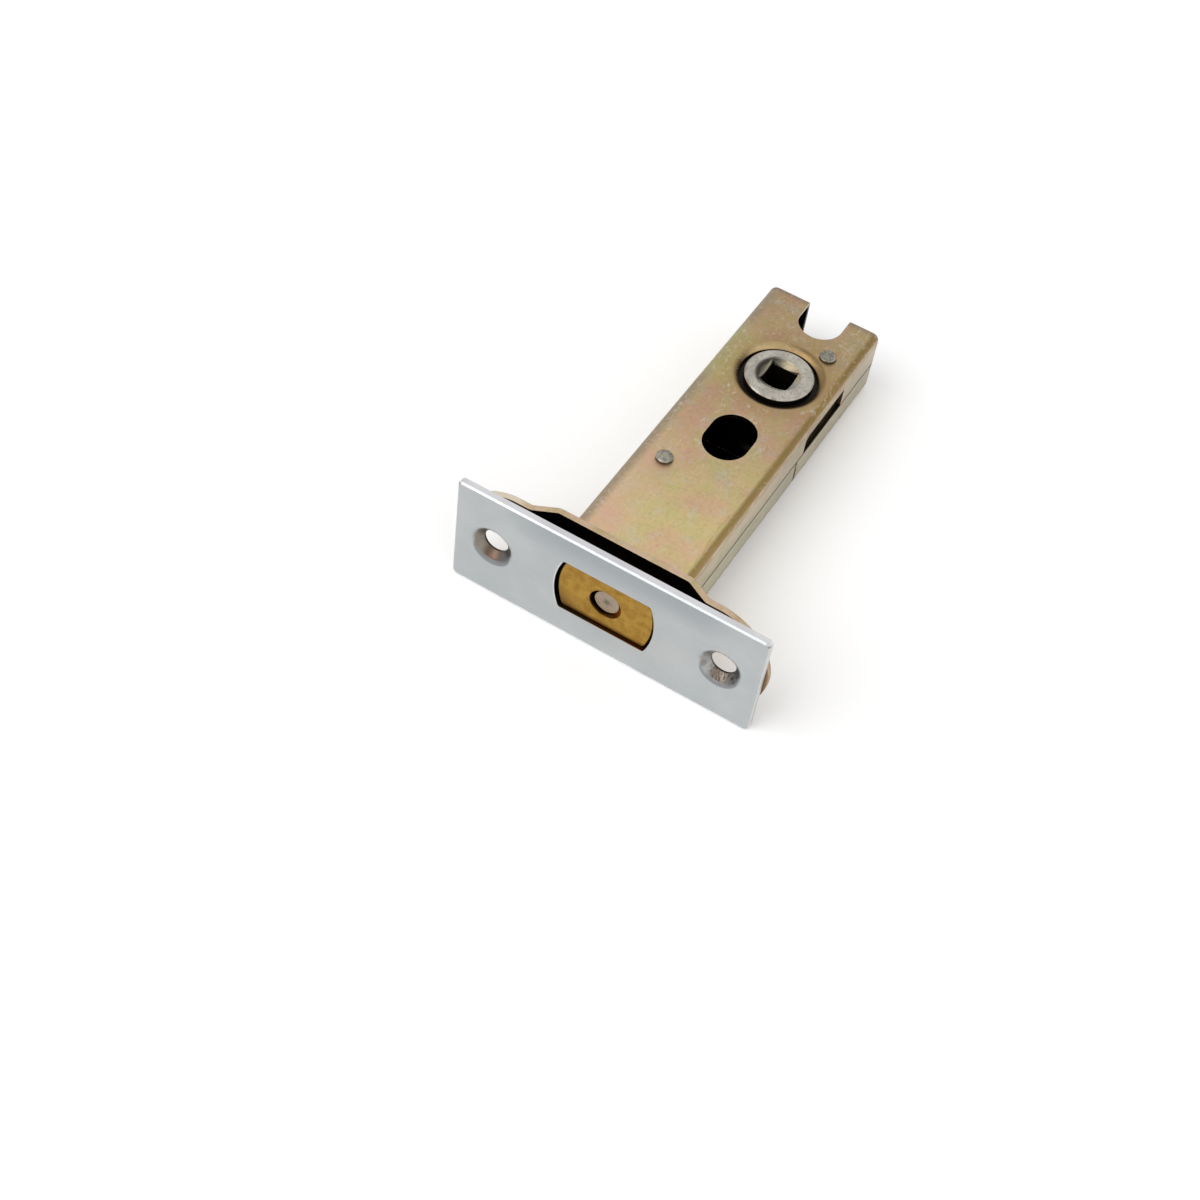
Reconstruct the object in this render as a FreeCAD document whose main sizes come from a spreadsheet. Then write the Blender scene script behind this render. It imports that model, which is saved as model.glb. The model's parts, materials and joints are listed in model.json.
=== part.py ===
import FreeCAD, Part
import math
import os

import Sketcher

# Tubular mortice deadbolt with bolt-through fixings, shown with its bolt drawn back.
# The origin is the centre of the forend's outer face. The bolt shoots along -Y, the case
# runs back along +Y, the forend's long side lies along X and the spindle turns about Z.
# All lengths are millimetres and all angles degrees.

SIZES = {
    # Outer forend, a plated strip that covers the front.
    "forend_length": 60.0,
    "forend_width": 24.0,
    "forend_thickness": 1.4,
    "forend_edge": 0.3,
    "forend_corner": 0.9,
    "screw_inset": 7.5,
    "screw_hole": 4.8,
    "screw_land": 0.4,
    "sink_rim_radius": 2.0,
    "dimple_diameter": 10.6,
    "dimple_height": 0.6,
    "cutout_gap": 0.2,
    "cutout_side_gap": 0.35,
    "cutout_corner": 0.6,
    # Inner forend, a passivated strip bridged back in the middle to carry the case.
    "strip_overhang": 0.5,
    "strip_inset": 0.3,
    "strip_end_ease": 0.1,
    "strip_thickness": 1.2,
    "strip_bend": 1.0,
    "strip_hole_gap": 1.7,
    "bridge_margin": 1.05,
    "bridge_run": 4.2,
    "bridge_rise": 2.2,
    # Case, folded from sheet in an upper shell and two lower ones.
    "case_width": 23.1,
    "case_height": 13.7,
    "case_wall": 0.8,
    "case_bend": 1.5,
    "case_tail": 21.1,
    "end_bend": 0.7,
    "seam_drop": 0.3,
    "seam_gap": 0.12,
    "joint_lead": 10.8,
    "joint_gap": 0.25,
    "joint_step": 0.4,
    "joint_step_height": 1.9,
    "tab_place": 2.4,
    "tab_margin": 0.05,
    "tab_gap": 0.05,
    "backset": 60.0,
    "spindle_offset": 0.9,
    "fixing_pitch": 19.0,
    "fixing_width": 8.6,
    "fixing_length": 11.6,
    "notch_depth": 8.45,
    "dish_width": 1.69,
    "dish_radius": 2.0,
    "dish_slope": 35.0,
    "relief_gap": 0.4,
    "relief_lead": 1.4,
    "relief_headroom": 0.65,
    "relief_corner": 0.8,
    # Follower, turned by the spindle.
    "square_hole": 5.5,
    "square_sink": 8.2,
    "square_sink_depth": 0.9,
    "boss_step": 0.85,
    "boss_proud": 0.2,
    "boss_edge": 0.25,
    "journal_fit": 0.06,
    "journal_drop": 1.4,
    "shoulder": 0.2,
    "shoulder_gap": 0.3,
    "core_gap": 0.3,
    "cam_wall_gap": 0.77,
    "cam_nose": 1.2,
    "cam_neck": 1.8,
    "cam_thickness": 3.0,
    "cam_height": 1.85,
    "cam_angle": 42.0,
    "cam_gap": 0.3,
    "flat_depth": 0.85,
    # Bolt head and the tail that draws it.
    "bolt_side_gap": 1.35,
    "bolt_top_gap": 0.2,
    "bolt_end_radius": 15.0,
    "bolt_length": 24.0,
    "bolt_recess": 0.6,
    "bolt_corner": 0.7,
    "bolt_edge": 0.25,
    "counterbore_diameter": 6.2,
    "counterbore_depth": 2.0,
    "spigot_diameter": 5.1,
    "spigot_recess": 0.6,
    "spigot_edge": 0.2,
    "spigot_neck": 3.6,
    "spigot_head": 5.8,
    "spigot_head_height": 0.8,
    "tail_thickness": 1.8,
    "tail_top_gap": 1.25,
    "tail_foot": 4.5,
    "tail_bend": 0.8,
    "tail_gap": 0.2,
    "drive_back_gap": 0.36,
    "drive_front_gap": 0.56,
    "drive_end": 2.2,
    # Rivets that close the case.
    "rivet_diameter": 2.6,
    "rivet_fit": 0.05,
    "rivet_head": 3.1,
    "rivet_head_height": 0.55,
    "rivet_edge": 0.15,
    "front_rivet_inset": 5.4,
    "front_rivet_gap": 5.2,
    "rear_rivet_inset": 5.45,
    "rear_rivet_lag": 9.5,
    # Leaf spring that holds the follower at either end of its turn.
    "spring_thickness": 0.5,
    "spring_height": 7.0,
    "spring_gap": 0.15,
    "spring_flat_half": 4.5,
    "spring_run": 6.5,
    "spring_foot": 3.0,
    "spring_bend": 0.6,
    "spring_lip_width": 3.0,
    "spring_lip_height": 2.4,
    "spring_lip_gap": 0.1,
}

doc = FreeCAD.newDocument("tubular_deadbolt")
sizes = doc.addObject("Spreadsheet::Sheet", "sizes")
for row, (alias, size) in enumerate(SIZES.items(), start=1):
    sizes.set(f"A{row}", alias)
    sizes.set(f"B{row}", str(size))
    sizes.setAlias(f"B{row}", alias)
doc.recompute()

# Lengths that follow from the driving ones.
FOREND_HALF = "sizes.forend_length / 2"
SCREW_PLACE = "(sizes.forend_length / 2 - sizes.screw_inset)"
STRIP_END = "(sizes.forend_length / 2 + sizes.strip_overhang)"
STRIP_SIDE = "(sizes.forend_width / 2 - sizes.strip_inset)"
DIMPLE_BACK = "(sizes.forend_thickness + sizes.dimple_height)"
SINK_DEPTH = f"({DIMPLE_BACK} - sizes.screw_land)"
SINK_RADIUS = f"(sizes.screw_hole / 2 + {SINK_DEPTH})"
STRIP_FRONT = f"({DIMPLE_BACK} + sizes.bridge_rise)"
STRIP_BACK = f"({STRIP_FRONT} + sizes.strip_thickness)"
CASE_HALF = "(sizes.case_width / 2)"
CASE_INNER = "(sizes.case_width / 2 - sizes.case_wall)"
CASE_TOP = "(sizes.case_height / 2)"
CASE_CEILING = "(sizes.case_height / 2 - sizes.case_wall)"
CASE_END = "(sizes.backset + sizes.case_tail)"
BRIDGE_HALF = f"({CASE_HALF} + sizes.bridge_margin)"
SEAM_TOP = "(-sizes.seam_drop + sizes.seam_gap / 2)"
SEAM_BOTTOM = "(-sizes.seam_drop - sizes.seam_gap / 2)"
JOINT_PLACE = "(sizes.backset - sizes.joint_lead)"
JOINT_STEP_FOOT = "(-sizes.seam_drop - sizes.joint_step_height)"
TAB_TOP = f"({CASE_TOP} - sizes.case_bend - sizes.tab_margin)"
FIXING_FRONT = "(sizes.backset - sizes.fixing_pitch)"
BOLT_HALF = f"({CASE_INNER} - sizes.bolt_side_gap)"
BOLT_TOP = f"({CASE_CEILING} - sizes.bolt_top_gap)"
BOLT_BACK = "(sizes.bolt_recess + sizes.bolt_length)"
CUTOUT_HALF = f"({BOLT_HALF} + sizes.cutout_side_gap)"
CUTOUT_TOP = f"({BOLT_TOP} + sizes.cutout_gap)"
TAIL_OUTER = f"({CASE_INNER} - sizes.tail_gap)"
TAIL_INNER = f"({TAIL_OUTER} - sizes.tail_thickness)"
CORE_RADIUS = f"({TAIL_INNER} - sizes.spindle_offset - sizes.core_gap)"
JOURNAL_RADIUS = f"({CORE_RADIUS} - sizes.shoulder)"
BOSS_RADIUS = f"({JOURNAL_RADIUS} - sizes.boss_step)"
FLAT_PLACE = f"({CORE_RADIUS} - sizes.flat_depth)"
DISH_HOLE = f"({JOURNAL_RADIUS} + sizes.journal_fit)"
DISH_RADIUS = f"({DISH_HOLE} + sizes.dish_width)"
DISH_BEND_RADIUS = f"({DISH_RADIUS} - sizes.dish_radius * sin(sizes.dish_slope))"
DISH_BEND_DROP = "(sizes.dish_radius * (1 - cos(sizes.dish_slope)))"
DISH_DROP = f"({DISH_BEND_DROP} + ({DISH_BEND_RADIUS} - {DISH_HOLE}) * tan(sizes.dish_slope))"
DISH_EDGE = "(sizes.case_wall / cos(sizes.dish_slope))"
BOSS_TOP = f"({CASE_TOP} + sizes.boss_proud)"
JOURNAL_TOP = f"({CASE_TOP} - sizes.journal_drop)"
CORE_TOP = f"({CASE_TOP} - {DISH_DROP} - {DISH_EDGE} - sizes.shoulder_gap)"
CAM_LOW = "(sizes.cam_height - sizes.cam_thickness / 2)"
CAM_HIGH = "(sizes.cam_height + sizes.cam_thickness / 2)"
CAM_SPAN = f"({CASE_INNER} - sizes.spindle_offset)"
CAM_RADIUS = f"(({CAM_SPAN} - sizes.cam_wall_gap - sizes.cam_nose) / cos(sizes.cam_angle))"
CAM_TIP = f"({CAM_RADIUS} + sizes.cam_nose)"
CAM_REST = f"(sizes.backset + {CAM_RADIUS} * sin(sizes.cam_angle))"
RELIEF_REACH = f"(sqrt({CAM_TIP} * {CAM_TIP} - {CAM_SPAN} * {CAM_SPAN}) + sizes.relief_gap)"
DRIVE_FRONT = f"({CAM_REST} - sizes.cam_nose - sizes.drive_front_gap)"
DRIVE_BACK = f"({CAM_REST} + sizes.cam_nose + sizes.drive_back_gap)"
TAIL_BACK = f"({DRIVE_BACK} + sizes.drive_end)"
RIVET_HOLE = "(sizes.rivet_diameter / 2 + sizes.rivet_fit)"
FRONT_RIVET = (f"(sizes.front_rivet_inset - {CASE_HALF})", f"({BOLT_BACK} + sizes.front_rivet_gap)")
REAR_RIVET = (f"({CASE_HALF} - sizes.rear_rivet_inset)", "(sizes.backset + sizes.rear_rivet_lag)")
SPRING_END = "(sizes.spring_flat_half + sizes.spring_run + sizes.spring_foot)"

# A straight cut that has to leave the case on every side is this long.
CLEAR = f"(2 * ({CASE_END} + sizes.forend_length))"
NEAR = 1e-4


def value(expression):
    """The present value of a size expression."""
    result = sizes.evalExpression(expression)
    return float(getattr(result, "Value", result))


def minus(expression):
    return f"-({expression})"


def new_body(name):
    body = doc.addObject("PartDesign::Body", name)
    body.Label = name
    return body


def new_sketch(body, name, role, right="0", up="0", out="0"):
    """A sketch on one of the body's origin planes, its origin moved by three expressions."""
    plane = next(item for item in body.Origin.OriginFeatures if item.Role == role)
    sketch = body.newObject("Sketcher::SketchObject", name)
    sketch.AttachmentSupport = [(plane, "")]
    sketch.MapMode = "FlatFace"
    for axis, expression in zip("xyz", (right, up, out)):
        if expression != "0":
            sketch.setExpression(f"AttachmentOffset.Base.{axis}", expression)
    return sketch


def bind(sketch, kind, geometry, point, expression):
    """Hold one coordinate of a point at an expression."""
    number = sketch.addConstraint(
        Sketcher.Constraint(kind, -1, 1, geometry, point, value(expression))
    )
    sketch.setExpression(f"Constraints[{number}]", expression)


def bind_point(sketch, geometry, point, place):
    for kind, axis, expression in zip(("DistanceX", "DistanceY"), (-2, -1), place):
        if expression == "0":
            sketch.addConstraint(Sketcher.Constraint("PointOnObject", geometry, point, axis))
        else:
            bind(sketch, kind, geometry, point, expression)


def bind_radius(sketch, geometry, expression):
    number = sketch.addConstraint(Sketcher.Constraint("Radius", geometry, value(expression)))
    sketch.setExpression(f"Constraints[{number}]", expression)


def arc_between(start, end, radius):
    """The shorter arc from start to end, bulging to the right of that direction."""
    chord = end - start
    middle = (start + end) * 0.5
    left = FreeCAD.Vector(-chord.y, chord.x, 0).normalize()
    half = chord.Length / 2
    centre = middle + left * math.sqrt(radius * radius - half * half)
    top = centre - left * radius
    return Part.Arc(start, top, end)


def add_outline(sketch, places, arcs=None, hollow=()):
    """A closed outline through the places. The edge that leaves each place is straight, or
    round with the radius that arcs gives for it. Round edges bulge to the right of their
    direction, and those named in hollow to the left."""
    arcs = arcs or {}
    first = sketch.GeometryCount
    points = [FreeCAD.Vector(value(across), value(along), 0) for across, along in places]
    for index, start in enumerate(points):
        end = points[(index + 1) % len(points)]
        if index in hollow:
            sketch.addGeometry(arc_between(end, start, value(arcs[index])))
        elif index in arcs:
            sketch.addGeometry(arc_between(start, end, value(arcs[index])))
        else:
            sketch.addGeometry(Part.LineSegment(start, end))
    for index, place in enumerate(places):
        following = (index + 1) % len(places)
        begin, finish = (2, 1) if index in hollow else (1, 2)
        enter = 2 if following in hollow else 1
        sketch.addConstraint(
            Sketcher.Constraint("Coincident", first + index, finish, first + following, enter)
        )
        bind_point(sketch, first + index, begin, place)
        if index in arcs:
            bind_radius(sketch, first + index, arcs[index])
    return sketch


def add_box(sketch, left, low, right, high):
    return add_outline(sketch, [(left, low), (right, low), (right, high), (left, high)])


def add_circle(sketch, place, radius):
    centre = FreeCAD.Vector(value(place[0]), value(place[1]), 0)
    geometry = sketch.addGeometry(Part.Circle(centre, FreeCAD.Vector(0, 0, 1), value(radius)))
    bind_point(sketch, geometry, 3, place)
    bind_radius(sketch, geometry, radius)
    return sketch


def add_oblong(sketch, along, width, length):
    """A round-ended slot along the sketch's Y axis, centred on X = 0."""
    radius = f"({width} / 2)"
    spread = f"(({length} - {width}) / 2)"
    reach = value(radius)
    half = value(spread)
    middle = value(along)
    up = FreeCAD.Vector(0, middle + half, 0)
    down = FreeCAD.Vector(0, middle - half, 0)
    normal = FreeCAD.Vector(0, 0, 1)
    rear = sketch.addGeometry(Part.ArcOfCircle(Part.Circle(up, normal, reach), 0, math.pi))
    left = sketch.addGeometry(
        Part.LineSegment(up - FreeCAD.Vector(reach, 0, 0), down - FreeCAD.Vector(reach, 0, 0))
    )
    front = sketch.addGeometry(
        Part.ArcOfCircle(Part.Circle(down, normal, reach), math.pi, 2 * math.pi)
    )
    right = sketch.addGeometry(
        Part.LineSegment(down + FreeCAD.Vector(reach, 0, 0), up + FreeCAD.Vector(reach, 0, 0))
    )
    for before, after in ((rear, left), (left, front), (front, right), (right, rear)):
        sketch.addConstraint(Sketcher.Constraint("Tangent", before, 2, after, 1))
    bind_point(sketch, rear, 3, ("0", f"({along} + {spread})"))
    bind_point(sketch, front, 3, ("0", f"({along} - {spread})"))
    bind_radius(sketch, rear, radius)
    return sketch


def add_feature(body, kind, name, sketch, length=None, midplane=False, reverse=False):
    """A pad or pocket of the sketch, either one way, both ways or back against its normal."""
    feature = body.newObject(f"PartDesign::{kind}", name)
    feature.Profile = sketch
    feature.Midplane = midplane
    feature.Reversed = reverse
    feature.setExpression("Length", length)
    sketch.Visibility = False
    doc.recompute()
    return feature


def pad(body, name, sketch, length, midplane=False, reverse=False):
    return add_feature(body, "Pad", name, sketch, length, midplane, reverse)


def pocket(body, name, sketch, length, midplane=False, reverse=False):
    """A cut that has to take material away."""
    before = body.Shape.Volume
    feature = add_feature(body, "Pocket", name, sketch, length, midplane, reverse)
    if feature.Shape.Volume > before - NEAR:
        raise RuntimeError(f"{body.Label}: {name} cuts nothing")
    return feature


def turn(body, kind, name, sketch, axis):
    """A full revolution or groove about an axis."""
    feature = body.newObject(f"PartDesign::{kind}", name)
    feature.Profile = sketch
    feature.ReferenceAxis = axis
    feature.Angle = 360.0
    sketch.Visibility = False
    doc.recompute()
    return feature


def edges_along(shape, axis, spots):
    """Names of the straight edges parallel to an axis through the given pairs of coordinates."""
    direction = {"X": FreeCAD.Vector(1, 0, 0), "Y": FreeCAD.Vector(0, 1, 0)}.get(
        axis, FreeCAD.Vector(0, 0, 1)
    )
    names = []
    for number, edge in enumerate(shape.Edges, start=1):
        if not isinstance(edge.Curve, Part.Line):
            continue
        if abs(abs(edge.Curve.Direction.dot(direction)) - 1) > NEAR:
            continue
        point = edge.Vertexes[0].Point
        pair = {"X": (point.y, point.z), "Y": (point.x, point.z)}.get(axis, (point.x, point.y))
        if any(math.dist(pair, spot) < NEAR for spot in spots):
            names.append(f"Edge{number}")
    return names


def round_edges(body, name, axis, spots, radius):
    """Fillet the straight edges that run along an axis at the spots."""
    base = body.Tip
    places = [(value(first), value(second)) for first, second in spots]
    feature = body.newObject("PartDesign::Fillet", name)
    feature.Base = (base, edges_along(base.Shape, axis, places))
    feature.setExpression("Radius", radius)
    doc.recompute()
    return feature


def front_edges(shape, depth, reach):
    """Names of the edges that lie in the face at Y = depth, out to reach from the middle."""
    names = []
    for number, edge in enumerate(shape.Edges, start=1):
        box = edge.BoundBox
        flat = abs(box.YMin - depth) < NEAR and abs(box.YMax - depth) < NEAR
        if flat and reach(box):
            names.append(f"Edge{number}")
    return names


def break_face(body, name, depth, size, reach):
    """Chamfer the edges of the face at Y = depth that reach() picks by their bounds."""
    base = body.Tip
    feature = body.newObject("PartDesign::Chamfer", name)
    feature.Base = (base, front_edges(base.Shape, value(depth), reach))
    feature.setExpression("Size", size)
    doc.recompute()
    return feature


def double_d(half_width, half_height, end_radius):
    """Corner places and end arcs of the bolt's section: flat above and below, round at the ends."""
    drop = f"({end_radius} - sqrt({end_radius} * {end_radius} - {half_height} * {half_height}))"
    corner = f"({half_width} - {drop})"
    places = [
        (minus(corner), minus(half_height)),
        (corner, minus(half_height)),
        (corner, half_height),
        (minus(corner), half_height),
    ]
    return places, {1: end_radius, 3: end_radius}


def mirrored(places):
    """The same places across the middle line, in the opposite order."""
    return [(minus(across), up) for across, up in reversed(places)]


def bridge_places(half, run, rise, end, thickness):
    """Places round a strip that is flat at its ends and bridged up over its middle, then the
    places of its bends on their hollow sides and those on their outer sides."""
    shift = f"({thickness} * tan(atan({rise} / {run}) / 2))"
    under_crest = (f"({half})", f"({rise})")
    under_foot = (f"({half} + {run})", "0")
    over_foot = (f"({half} + {run} + {shift})", f"({thickness})")
    over_crest = (f"({half} + {shift})", f"({rise} + {thickness})")
    tip = [(f"({end})", "0"), (f"({end})", f"({thickness})")]
    side = [under_crest, under_foot, *tip, over_foot, over_crest]
    hollow = [under_crest, over_foot]
    outer = [under_foot, over_crest]
    return side + mirrored(side), hollow + mirrored(hollow), outer + mirrored(outer)


def make_forend_plate():
    body = new_body("forend_plate")
    face = new_sketch(body, "forend_outline", "XZ_Plane")
    add_box(
        face,
        minus(FOREND_HALF),
        "-sizes.forend_width / 2",
        FOREND_HALF,
        "sizes.forend_width / 2",
    )
    pad(body, "forend_sheet", face, "sizes.forend_thickness", reverse=True)
    corners = [
        (f"{side}{FOREND_HALF}", f"{end}sizes.forend_width / 2")
        for side in ("", "-")
        for end in ("", "-")
    ]
    round_edges(body, "forend_corners", "Y", corners, "sizes.forend_corner")
    dimple_rim = new_sketch(body, "dimple_section", "XY_Plane", right=SCREW_PLACE)
    add_outline(
        dimple_rim,
        [
            ("0", "sizes.forend_thickness"),
            ("sizes.dimple_diameter / 2", "sizes.forend_thickness"),
            ("sizes.dimple_diameter / 2 - sizes.dimple_height", DIMPLE_BACK),
            ("0", DIMPLE_BACK),
        ],
    )
    dimple = turn(body, "Revolution", "dimple", dimple_rim, (dimple_rim, ["V_Axis"]))
    sink_section = new_sketch(body, "sink_section", "XY_Plane", right=SCREW_PLACE)
    roll = "(sizes.sink_rim_radius * tan(22.5))"
    add_outline(
        sink_section,
        [
            ("0", "0"),
            (f"({SINK_RADIUS} + {roll})", "0"),
            (f"({SINK_RADIUS} - {roll} * cos(45))", f"({roll} * sin(45))"),
            ("sizes.screw_hole / 2", SINK_DEPTH),
            ("sizes.screw_hole / 2", DIMPLE_BACK),
            ("0", DIMPLE_BACK),
        ],
        arcs={1: "sizes.sink_rim_radius"},
        hollow=(1,),
    )
    sink = turn(body, "Groove", "screw_sink", sink_section, (sink_section, ["V_Axis"]))
    other = body.newObject("PartDesign::Mirrored", "other_screw_hole")
    other.Originals = [dimple, sink]
    plane = next(item for item in body.Origin.OriginFeatures if item.Role == "YZ_Plane")
    other.MirrorPlane = (plane, [""])
    body.Tip = other
    doc.recompute()
    cutout = new_sketch(body, "bolt_cutout_outline", "XZ_Plane")
    places, ends = double_d(CUTOUT_HALF, CUTOUT_TOP, "sizes.bolt_end_radius")
    add_outline(cutout, places, ends)
    pocket(body, "bolt_cutout", cutout, CLEAR, midplane=True)
    round_edges(body, "cutout_corners", "Y", places, "sizes.cutout_corner")
    rim = value("sizes.forend_width / 2")
    break_face(
        body,
        "forend_edges",
        "0",
        "sizes.forend_edge",
        lambda box: max(abs(box.ZMin), abs(box.ZMax)) > rim - value("sizes.forend_corner") - NEAR,
    )
    return body


def make_inner_strip():
    """The bridged strip behind the forend. The case's tabs are staked into its four slots."""
    body = new_body("inner_strip")
    section = new_sketch(body, "strip_section", "XY_Plane", up=DIMPLE_BACK)
    places, hollow, outer = bridge_places(
        BRIDGE_HALF,
        "sizes.bridge_run",
        "sizes.bridge_rise",
        STRIP_END,
        "sizes.strip_thickness",
    )
    add_outline(section, places)
    pad(body, "strip_sheet", section, f"(2 * {STRIP_SIDE})", midplane=True)
    outer_radius = "sizes.strip_bend + sizes.strip_thickness"
    for name, bends, radius in (
        ("strip_inner_bends", hollow, "sizes.strip_bend"),
        ("strip_outer_bends", outer, outer_radius),
    ):
        lifted = [(across, f"({up} + {DIMPLE_BACK})") for across, up in bends]
        round_edges(body, name, "Z", lifted, radius)
    round_strip_ends(body)
    opening = new_sketch(body, "strip_opening_outline", "XZ_Plane")
    add_outline(opening, *double_d(CUTOUT_HALF, CUTOUT_TOP, "sizes.bolt_end_radius"))
    pocket(body, "strip_opening", opening, CLEAR, midplane=True)
    slots = new_sketch(body, "tab_slots_outline", "XZ_Plane")
    for side in ("", "-"):
        for low, high in tab_spans():
            inner = f"{side}({CASE_INNER} - sizes.tab_gap)"
            wall = f"{side}({CASE_HALF} + sizes.tab_gap)"
            add_box(slots, inner, f"({low} - sizes.tab_gap)", wall, f"({high} + sizes.tab_gap)")
    pocket(body, "tab_slots", slots, CLEAR, midplane=True)
    holes = new_sketch(body, "strip_screw_holes_outline", "XZ_Plane")
    for side in ("", "-"):
        radius = "(sizes.screw_hole / 2 + sizes.strip_hole_gap)"
        add_circle(holes, (f"{side}{SCREW_PLACE}", "0"), radius)
    pocket(body, "strip_screw_holes", holes, CLEAR, midplane=True)
    return body


def round_strip_ends(body):
    """Trim the strip to a plan with round ends, nearly half circles."""
    plan = new_sketch(body, "strip_plan", "XZ_Plane")
    radius = f"({STRIP_SIDE} + sizes.strip_end_ease)"
    add_outline(plan, *double_d(STRIP_END, STRIP_SIDE, radius))
    wide = f"({STRIP_END} + {STRIP_SIDE})"
    add_box(plan, minus(wide), minus(wide), wide, wide)
    pocket(body, "strip_round_ends", plan, CLEAR, midplane=True)


def tab_spans():
    """Lowest and highest edges of the tabs on the upper and on the lower shell."""
    return (
        ("(sizes.tab_place - sizes.seam_drop)", TAB_TOP),
        (minus(TAB_TOP), "(-sizes.tab_place - sizes.seam_drop)"),
    )


def fold_channel(body, sign, start, end):
    """A folded channel whose web is the case's top (sign "") or its underside (sign "-")."""
    lip = SEAM_BOTTOM if sign else SEAM_TOP
    section = new_sketch(body, "channel_section", "XZ_Plane", out=minus(start))
    add_outline(
        section,
        [
            (minus(CASE_HALF), lip),
            (minus(CASE_HALF), f"{sign}{CASE_TOP}"),
            (CASE_HALF, f"{sign}{CASE_TOP}"),
            (CASE_HALF, lip),
            (CASE_INNER, lip),
            (CASE_INNER, f"{sign}{CASE_CEILING}"),
            (minus(CASE_INNER), f"{sign}{CASE_CEILING}"),
            (minus(CASE_INNER), lip),
        ],
    )
    pad(body, "channel", section, f"({end} - {start})", reverse=True)
    outer = [(f"{side}{CASE_HALF}", f"{sign}{CASE_TOP}") for side in ("", "-")]
    inner = [(f"{side}{CASE_INNER}", f"{sign}{CASE_CEILING}") for side in ("", "-")]
    round_edges(body, "outer_bends", "Y", outer, "sizes.case_bend")
    round_edges(body, "inner_bends", "Y", inner, "sizes.case_bend - sizes.case_wall")


def cut_web(body, name, sketch, sign):
    """Cut a sketch on the XY plane through the web alone."""
    return pocket(body, name, sketch, CASE_TOP, reverse=not sign)


def draw_dish(body, sign):
    """Draw the web inwards round the spindle, down to the hole that the follower runs in."""
    blank = new_sketch(body, "dish_blank_outline", "XY_Plane")
    add_circle(blank, ("sizes.spindle_offset", "sizes.backset"), DISH_RADIUS)
    cut_web(body, "dish_blank", blank, sign)
    section = new_sketch(
        body, "dish_section", "YZ_Plane", right="sizes.backset", out="sizes.spindle_offset"
    )
    inner_radius = "(sizes.dish_radius - sizes.case_wall)"
    heights = {
        "rim": CASE_TOP,
        "bend": f"({CASE_TOP} - {DISH_BEND_DROP})",
        "hole": f"({CASE_TOP} - {DISH_DROP})",
        "hole_under": f"({CASE_TOP} - {DISH_DROP} - {DISH_EDGE})",
        "bend_under": f"({CASE_TOP} - sizes.dish_radius + {inner_radius} * cos(sizes.dish_slope))",
        "rim_under": CASE_CEILING,
    }
    under = f"({DISH_RADIUS} - {inner_radius} * sin(sizes.dish_slope))"
    places = [
        (DISH_RADIUS, f"{sign}{heights['rim_under']}"),
        (DISH_RADIUS, f"{sign}{heights['rim']}"),
        (DISH_BEND_RADIUS, f"{sign}{heights['bend']}"),
        (DISH_HOLE, f"{sign}{heights['hole']}"),
        (DISH_HOLE, f"{sign}{heights['hole_under']}"),
        (under, f"{sign}{heights['bend_under']}"),
    ]
    outer_bend = 1
    if sign:
        places = places[::-1]
        outer_bend = 3
    arcs = {outer_bend: "sizes.dish_radius", 5: inner_radius}
    add_outline(section, places, arcs, hollow=(5,))
    turn(body, "Revolution", "dish", section, (section, ["V_Axis"]))


def cut_fixing_hole(body, sign):
    sketch = new_sketch(body, "fixing_hole_outline", "XY_Plane", right="sizes.spindle_offset")
    add_oblong(sketch, FIXING_FRONT, "sizes.fixing_width", "sizes.fixing_length")
    cut_web(body, "fixing_hole", sketch, sign)


def close_end(body, sign):
    """Turn the web down over the case's rear end, then cut the notch through web and end."""
    wall = new_sketch(body, "end_wall_outline", "XZ_Plane", out=f"(sizes.case_wall - {CASE_END})")
    lip = SEAM_BOTTOM if sign else SEAM_TOP
    add_box(wall, minus(CASE_INNER), lip, CASE_INNER, f"{sign}{CASE_CEILING}")
    pad(body, "end_wall", wall, "sizes.case_wall", reverse=True)
    round_edges(body, "end_bend", "X", [(CASE_END, f"{sign}{CASE_TOP}")], "sizes.end_bend")
    notch = new_sketch(body, "rear_notch_outline", "XY_Plane", right="sizes.spindle_offset")
    add_oblong(notch, CASE_END, "sizes.fixing_width", "(2 * sizes.notch_depth)")
    pocket(body, "rear_notch", notch, CLEAR, midplane=True)


def cut_rivet_hole(body, name, place, sign):
    sketch = new_sketch(body, f"{name}_hole_outline", "XY_Plane")
    add_circle(sketch, place, RIVET_HOLE)
    cut_web(body, f"{name}_hole", sketch, sign)


def add_tabs(body, sign):
    """Two tabs on the side walls that reach through the inner strip."""
    upper, lower = tab_spans()
    low, high = lower if sign else upper
    sketch = new_sketch(body, "tabs_outline", "XZ_Plane", out=minus(STRIP_FRONT))
    for side in ("", "-"):
        add_box(sketch, f"{side}{CASE_INNER}", low, f"{side}{CASE_HALF}", high)
    pad(body, "tabs", sketch, "sizes.strip_thickness", reverse=True)


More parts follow.
